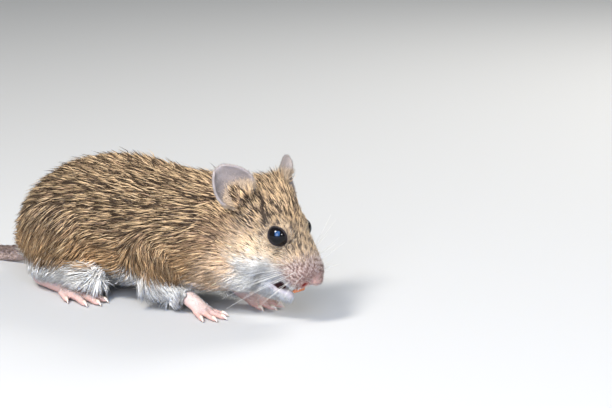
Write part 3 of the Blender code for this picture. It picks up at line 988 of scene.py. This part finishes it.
class Roots:
    """Places on the skin where tufts stand, with the skin's fields at each."""

    def __init__(self, skin, density, fields):
        mesh = skin.mesh
        mesh.calc_loop_triangles()
        faces = read(mesh.loop_triangles, "vertices", 3)
        first, second, third = skin.points[faces].transpose(1, 0, 2)
        area = np.linalg.norm(np.cross(second - first, third - first), axis=1) / 2
        ends = np.cumsum(area * density[faces].mean(axis=1))
        count = int(ends[-1])
        chosen = np.searchsorted(ends, (np.arange(count) + RNG.random(count)) * ends[-1] / count)
        self.corners = faces[np.minimum(chosen, len(faces) - 1)]
        across = RNG.random((count, 2))
        over = across.sum(axis=1) > 1
        across[over] = 1 - across[over]
        self.weights = np.column_stack((1 - across.sum(axis=1), across))
        self.points = self.at(skin.points)
        self.normals = unit(self.at(skin.normals))
        for name, field in fields.items():
            setattr(self, name, self.at(field))

    def at(self, values):
        if values.ndim == 1:
            return (values[self.corners] * self.weights).sum(axis=1)
        return (values[self.corners] * self.weights[..., None]).sum(axis=1)


def tuft_shape(roots, normals, flow, length, width, lift, bent):
    """Points, faces and unwrap corners of tapered tufts with three sides.

    A bent tuft has a second ring half way, and lies flatter beyond it.
    """
    across = unit(np.cross(flow, normals))
    start = roots - normals * ROOT_DEPTH
    rise = flow * np.cos(lift)[:, None] + normals * np.sin(lift)[:, None]
    onward = rise
    if bent:
        flatter = lift * 0.3
        onward = flow * np.cos(flatter)[:, None] + normals * np.sin(flatter)[:, None]
    points = np.empty((len(roots), 7 if bent else 4, 3))
    for corner, (sideways, upward) in enumerate(((-0.5, 0), (0, 0.4), (0.5, 0))):
        ring = across * (sideways * width)[:, None] + normals * (upward * width)[:, None]
        points[:, corner] = start + ring
        if bent:
            points[:, corner + 3] = roots + rise * (length * 0.5)[:, None] + ring * 0.85
    points[:, -1] = roots + (rise + onward) * (length * 0.5)[:, None]
    points[..., 2] = np.maximum(points[..., 2], 0.05)
    faces, patch = [], []
    last, level = (3, 0.5) if bent else (0, 0)
    for corner in range(3):
        after = (corner + 1) % 3
        low, high = corner / 3, (corner + 1) / 3
        if bent:
            faces += [(corner, after, after + 3), (corner, after + 3, corner + 3)]
            patch += [(low, 0), (high, 0), (high, 0.5), (low, 0), (high, 0.5), (low, 0.5)]
        faces += [(corner + last, after + last, last + 3)]
        patch += [(low, level), (high, level), ((low + high) / 2, 1)]
    return points, np.array(faces), (np.array(patch) - 0.5) * PATCH


def make_tufts(name, roots, chosen, colours, uv, material, bent):
    fields = (roots.points, roots.normals, roots.flow, roots.length, roots.width, roots.lift)
    points, faces, patch = tuft_shape(*(field[chosen] for field in fields), bent)
    rows = points.shape[1]
    all_faces = (faces[None] + rows * np.arange(len(points))[:, None, None]).reshape(-1, 3)
    mesh = mesh_of(name, points.reshape(-1, 3), all_faces)
    layer = mesh.uv_layers.new(name="OFBake", do_init=False)
    layer.uv.foreach_set("vector", (uv[:, None] + patch[None]).astype(np.float32).ravel())
    picked = [0, 0, 0, 1, 1, 1, 2] if bent else [0, 0, 0, 2]
    add_colours(mesh, colours[:, picked].reshape(-1, 3))
    finish_piece(new_object(name, mesh), material)


def tuft_colours(roots):
    """Root, middle and tip colour of each tuft, by the markings at its place."""
    count = len(roots.points)
    places = roots.points + roots.flow * (roots.length * 0.45)[:, None] + RNG.normal(0, 0.5, (count, 3))
    base = coat_colour(places)
    agouti = agouti_share(places)
    white = belly_share(places)
    streaks = ramp(-0.9, 0.9, ripple(roots.points, 1.1, 31))
    draw = RNG.random(count)
    shade = np.exp(RNG.normal(0, 0.24, count) * (1 - 0.3 * white)) * (1 + 0.10 * ripple(places, 4.5, 32))
    base = base * shade[:, None]
    dark = draw < agouti * streaks
    straw = draw > 1 - 0.62 * agouti * (1.15 - streaks)
    middle = base * 0.95
    tip = base * 1.08
    tip[dark] = DARK_TIP * 1.3
    middle[dark] = base[dark] * 0.22
    middle[straw] = (base[straw] + STRAW) / 2
    tip[straw] = STRAW * 1.05
    root = mix(base * np.array((0.26, 0.27, 0.30)), base * 0.66, white)
    bristle = muzzle_share(places) * (1 - 0.9 * white)
    near_tip = ramp(3.6, 1.8, distance_to(box_centre("nose"), places))
    grain = ripple(roots.points, 0.72, 33) + RNG.normal(0, 0.25, count)
    speckled = mix(base, MUZZLE_PALE, grain > 0.0)
    speckled = mix(speckled, MUZZLE_DARK, grain < -0.36)
    speckled = mix(speckled, TIP_HAIR, 0.3 * near_tip)
    middle = mix(middle, speckled * 0.85, bristle * 0.9)
    tip = mix(tip, speckled, bristle * 0.9)
    root = mix(root, PINK * 0.4, bristle * 0.7)
    return np.stack((root, middle, tip), axis=1)


def unwrap(points, centre, along, up):
    """A place from 0 to 1 round the axis, and one along it, spaced evenly by rank."""
    along = unit(np.array(along, float))
    up = unit(np.array(up, float) - along * (np.array(up) @ along))
    side = np.cross(along, up)
    offset = points - centre
    turn = np.arctan2(offset @ side, offset @ up) / (2 * pi) + 0.5
    rank = np.empty(len(points))
    rank[np.argsort(offset @ along, kind="stable")] = np.arange(len(points)) / max(len(points) - 1, 1)
    return 0.01 + 0.98 * np.column_stack((turn, rank))


# Each region of the coat, and the axis that its unwrap runs round: centre, along, up.
REGIONS = {
    "head": (from_head((0, 12, 0)), HEAD_AXES[1], HEAD_AXES[2]),
    "trunk": (np.array((4.3, 0, 14.0)), (0, 1, 0), (0, 0, 1)),
}
for limb, outward, along, up in (("thigh", 1, 0, (0, 0, 1)), ("foreleg", 0.3, -1, (0, 1, 0))):
    for label, side in SIDES.items():
        name = f"{limb}_{label}"
        REGIONS[name] = (box_centre(name), (side * outward, 0, along), up)


def grow(name, roots, chosen, colours, material, axis):
    """Splits a region's tufts into pieces small enough to bake well, front to back."""
    centre, along, up = axis
    for bent in (True, False):
        style = chosen[(roots.length[chosen] >= LONG_TUFT) == bent]
        if not len(style):
            continue
        reach = (roots.points[style] - centre) @ unit(np.array(along, float))
        style = style[np.argsort(reach, kind="stable")]
        pieces = int(np.ceil(len(style) / MOST_TUFTS))
        for number, part in enumerate(np.array_split(style, pieces), start=1):
            uv = unwrap(roots.points[part], centre, along, up)
            title = f"{name}_{'long' if bent else 'short'}_{number}"
            make_tufts(title, roots, part, colours[part], uv, material, bent)


def finish_roots(roots, wander=0.13):
    """Gives each tuft its own small departure from its neighbours."""
    count = len(roots.points)
    roots.flow = along_surface(roots.flow, roots.normals)
    turn = RNG.normal(0, wander, count) + 0.08 * ripple(roots.points, 9.0, 41)
    roots.flow = unit(roots.flow + np.cross(roots.normals, roots.flow) * turn[:, None])
    roots.length = roots.length * RNG.uniform(0.72, 1.18, count)
    roots.lift = roots.lift * np.exp(RNG.normal(0, 0.25, count))
    roots.width = roots.width * RNG.uniform(0.7, 1.25, count)


def make_coat(skin):
    back = in_head(skin.points)[:, 1]
    density = TUFTS_ON_TRUNK + (TUFTS_ON_HEAD - TUFTS_ON_TRUNK) * ramp(25, 16, back)
    bristle = muzzle_share(skin.points)
    density = density * (1 + 0.35 * bristle)
    density = density * skin.furred * (1 - np.clip(1.4 * skin.in_mouth, 0, 1))
    for name in EYES:
        past, distance, _, _ = past_lid(skin.points, name)
        clear = ramp(radians(6), radians(13), past)
        density = np.where(distance < EYE_RADIUS + 2.0, density * clear, density)
    raised = 1.1 * bristle + 0.28 * crown_share(skin.points) + 0.6 * jaw_share(skin.points)
    fields = {
        "flow": body_flow(skin),
        "length": skin.length * (1 - 0.35 * bristle),
        "lift": LIFT * (1 + raised),
        "width": np.interp(skin.length, *zip(*TUFT_WIDTHS)) * (1 - 0.2 * bristle),
    }
    roots = Roots(skin, density, fields)
    finish_roots(roots)
    colours = tuft_colours(roots)
    labels = label_points(roots.points)
    on_limb = np.isin(labels, LIMBS)
    on_head = ~on_limb & (in_head(roots.points)[:, 1] < HEAD_ENDS)
    region = np.where(on_limb, labels, np.where(on_head, "head", "trunk"))
    material = painted("coat", 0.65, 0.06)[0]
    for name, axis in REGIONS.items():
        chosen = np.flatnonzero(region == name)
        grow(f"coat_{name}", roots, chosen, colours, material, axis)


def nearest_root(points):
    roots = np.array(list(EAR_ROOTS.values()))
    return roots[np.argmin([distance_to(root, points) for root in roots], axis=0)]


def tail_flow(points, on_tail):
    flow = np.tile((0.0, 1.0, 0.0), (len(points), 1))
    flow[on_tail] = TAIL_WAY[nearest(points[on_tail], TAIL_LINE)[1]]
    return flow


def fuzz_colours(roots, kind):
    """Colours of the sparse short hairs on the ears, feet and tail."""
    count = len(roots.points)
    if kind == EAR:
        reach = ear_reach(roots.points)
        bare = mix(LIGHT_TAN * 0.75, np.array((0.36, 0.325, 0.315)), ramp(0.35, 0.65, reach))
        base = mix(bare, LIGHT_TAN * 0.7, ear_fur(roots.points))
    elif kind == FOOT:
        base = np.tile(WHITE, (count, 1))
    else:
        base = tail_colour(roots.normals) * 1.15
    base = base * np.exp(RNG.normal(0, 0.22, count))[:, None]
    return np.stack((base * 0.5, base * 0.9, base), axis=1)


def make_fuzz(skin):
    """Sparse short hairs on the ears, the tops of the feet and the tail."""
    points, normals = skin.points, skin.normals
    reach = ear_reach(points)
    same = np.ones(len(points))
    kinds = {
        "ears": (
            EAR,
            9 + 16 * ramp(0.75, 0.25, reach) + 22 * ear_fur(points),
            0.85 - 0.25 * ramp(0.3, 0.9, reach) + 0.65 * ear_fur(points),
            unit(points - nearest_root(points)),
            (from_head((0, 18, 8)), HEAD_AXES[0], HEAD_AXES[2]),
        ),
        "feet": (
            FOOT,
            11 * ramp(0.0, 0.5, normals[:, 2]) * ramp(0.7, 1.3, points[:, 2]),
            0.85 * same,
            np.tile((0.0, -1.0, -0.15), (len(points), 1)),
            (np.array((4.3, -30, 2.0)), (0, 1, 0), (0, 0, 1)),
        ),
        "tail": (
            TAIL_SKIN,
            7 * same,
            1.3 * same,
            tail_flow(points, skin.kind == TAIL_SKIN),
            (np.array((0, 40, 1.0)), (0, 1, 0), (0, 0, 1)),
        ),
    }
    material = painted("fuzz", 0.65, 0.06)[0]
    for label, (kind, density, length, flow, axis) in kinds.items():
        width = 0.06 + 0.08 * length
        fields = {"flow": flow, "length": length, "lift": radians(11) * same, "width": width}
        roots = Roots(skin, density * (skin.kind == kind), fields)
        finish_roots(roots, 0.25)
        everything = np.arange(len(roots.points))
        grow(f"coat_{label}", roots, everything, fuzz_colours(roots, kind), material, axis)


# Eyes, claws, whiskers


def make_eyes():
    material, _, shader = new_material("eye_gloss", EYE_BLACK, 0.04)
    set_inputs(shader, {"IOR": 1.33})
    for name in EYES:
        bm = bmesh.new()
        bmesh.ops.create_uvsphere(bm, u_segments=64, v_segments=40, radius=EYE_RADIUS * MM)
        ball = object_from(f"{name}_ball", bm)
        ball.location = Vector(box_centre(name)) * MM
        finish_piece(ball, material)
        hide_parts(name)


def toe_tips():
    """Each toe's tip and heading, as the CAD draws the toes."""
    for foot in (HIND_FOOT, FORE_FOOT):
        for side_name, side in SIDES.items():
            left, back = foot["place"][side_name]
            turn = side * foot["splay"]
            rotate = np.array(((cos(turn), -sin(turn), 0), (sin(turn), cos(turn), 0), (0, 0, 1)))
            place = np.array((side * left, back, 0)) + SHIFT
            for (across, along), length, splay in foot["toes"]:
                heading = np.array((sin(radians(splay)), -cos(radians(splay)), 0))
                tip = np.array((across, along, foot["radius"] * 0.85)) + heading * length
                yield rotate @ tip + place, rotate @ heading


def make_claws():
    """Pale claws that curve down from the toe tips to the floor."""
    material, tree, shader = new_material("claw", CLAW, 0.35)
    add_bump(tree, shader, noise(tree, 2500), 0.02)
    bm = bmesh.new()
    share = np.linspace(0, 1, 8)
    radii = CLAW_RADIUS * (1 - share) ** 0.7 + 0.05
    for tip, heading in toe_tips():
        path = tip + heading * (0.15 + CLAW_LENGTH * share)[:, None]
        path[:, 2] = tip[2] + 0.34 + 0.10 * np.sin(share * pi) - (tip[2] + 0.14) * share**1.7
        add_tube(bm, path, radii, 10)
    finish_piece(object_from("claws", bm), material)


WHISKER_STEPS = np.linspace(0, 1, 14)
WHISKER_ROWS = 4  # and as many in each row
WHISKER_RADIUS = 0.042


def whisker_path(root, side, rear, high):
    """A bristle that leaves the muzzle outward; the left ones are held high and the right ones low."""
    rise = 0.10 + 0.45 * high if side > 0 else -0.50 + 0.40 * high
    way = np.array((side * 1.0, -0.25 + 0.60 * rear, rise)) + RNG.normal(0, 0.05, 3)
    length = (6 + 10 * rear) * RNG.uniform(0.8, 1.1)
    share = WHISKER_STEPS[:, None]
    sag = np.array((0, 0.25, -0.45 + 0.3 * high)) * length * 0.3
    path = root + unit(way @ HEAD_AXES) * length * share + sag * share**2
    path[:, 2] = np.maximum(path[:, 2], 0.35)
    return path


def make_whiskers(skin):
    """Long bristles that fan out from rows on the muzzle, longest at the rear."""
    material = new_material("whisker", WHISKER, 0.3)[0]
    face = skin.points[skin.kind == BODY]
    radii = WHISKER_RADIUS * (1 - WHISKER_STEPS) ** 0.8 + 0.01
    bm = bmesh.new()
    for side in SIDES.values():
        for low in np.linspace(0, 1, WHISKER_ROWS):
            for rear in np.linspace(0, 1, WHISKER_ROWS):
                high = 1 - low
                wanted = from_head((side * (3.2 + 0.5 * rear), 2.6 + 3.6 * rear, -2.9 + 2.9 * high))
                root = face[distance_to(wanted, face).argmin()]
                add_tube(bm, whisker_path(root, side, rear, high), radii, 4)
    finish_piece(object_from("whiskers", bm), material)


def make_teeth():
    """The upper incisors keep the CAD's shape, and take an orange enamel."""
    material, tree, shader = new_material("enamel", ENAMEL, 0.2)
    add_bump(tree, shader, noise(tree, 1200), 0.02)
    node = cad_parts["upper_incisors"]
    node.data.materials.clear()
    node.data.materials.append(material)


# Floor, light and camera


CAMERA_SIDE = radians(42)  # the way the camera looks, from straight across the mouse
CAMERA_LIFT = radians(12)
CAMERA_DISTANCE = 450.0
SENSOR = 36
FRAME_WIDTH = 123.9  # what the picture spans at the nose
PICTURE = (612, 408)  # its width and height
NOSE_IN_FRAME = (0.018301, -0.191912)  # right and up from the middle, as shares of the width and height


def make_stage():
    bm = bmesh.new()
    bmesh.ops.create_grid(bm, x_segments=1, y_segments=1, size=1.5)
    floor = object_from("floor", bm)
    floor.data.materials.append(new_material("pale_floor", FLOOR, 0.8)[0])


def camera_axes():
    forward = np.array(
        (cos(CAMERA_SIDE) * cos(CAMERA_LIFT), sin(CAMERA_SIDE) * cos(CAMERA_LIFT), -sin(CAMERA_LIFT))
    )
    right = unit(np.cross(forward, (0, 0, 1)))
    return right, np.cross(right, forward), forward


def make_camera():
    right, up, forward = camera_axes()
    across, above = NOSE_IN_FRAME
    wide, high = PICTURE
    aim = NOSE_TIP - right * across * FRAME_WIDTH - up * above * FRAME_WIDTH * high / wide
    data = bpy.data.cameras.new("camera")
    data.sensor_width = SENSOR
    data.lens = SENSOR * CAMERA_DISTANCE / FRAME_WIDTH
    data.clip_start = 0.01
    camera = new_object("camera", data)
    turned = Matrix((Vector(right), Vector(up), Vector(-forward))).transposed().to_4x4()
    turned.translation = Vector((aim - forward * CAMERA_DISTANCE) * MM)
    camera.matrix_world = turned
    bpy.context.scene.camera = camera


def area_light(name, away, size, power, colour):
    """A square light that stands this far off from the nose, in metres, and shines on it."""
    data = bpy.data.lights.new(name, "AREA")
    data.size = size
    data.energy = power
    data.color = colour
    light = new_object(name, data)
    light.location = Vector(NOSE_TIP * MM + away)
    light.rotation_euler = Vector(-away).to_track_quat("-Z", "Y").to_euler()
    return light


def catchlight(*settings):
    """A light that shows only in gloss, such as the eyes'."""
    area_light(*settings).visible_diffuse = False


def make_lights():
    right, up, forward = camera_axes()
    above = np.array((0, 0, 1.0))
    area_light("key", -0.26 * right - 0.30 * forward + 0.42 * above, 0.16, 4.5, (1.0, 0.96, 0.90))
    area_light("sky", 0.05 * right - 0.45 * forward + 0.40 * above, 0.30, 0.8, (0.62, 0.78, 1.0))
    area_light("fill", -0.10 * right - 0.50 * forward + 0.08 * above, 0.25, 1.9, (1.0, 0.98, 0.96))
    area_light("back", 0.30 * right + 0.35 * forward + 0.40 * above, 0.25, 2.2, (1.0, 0.98, 0.95))
    catchlight("sky_glint", -0.46 * forward + 0.17 * up - 0.06 * right, 0.50, 14.0, (0.06, 0.34, 1.0))
    catchlight("white_glint", -0.40 * forward + 0.10 * up + 0.38 * right, 0.08, 1.2, (1.0, 1.0, 1.0))
    world = bpy.data.worlds.new("studio")
    bpy.context.scene.world = world
    world.use_nodes = True
    sky = world.node_tree.nodes["Background"]
    set_inputs(sky, {"Color": (0.88, 0.94, 1.0, 1), "Strength": 0.32})
    bpy.context.scene.view_settings.view_transform = "Standard"


def main():
    make_stage()
    make_camera()
    make_lights()
    skin = make_skin()
    make_coat(skin)
    make_fuzz(skin)
    make_eyes()
    make_claws()
    make_whiskers(skin)
    make_teeth()


main()
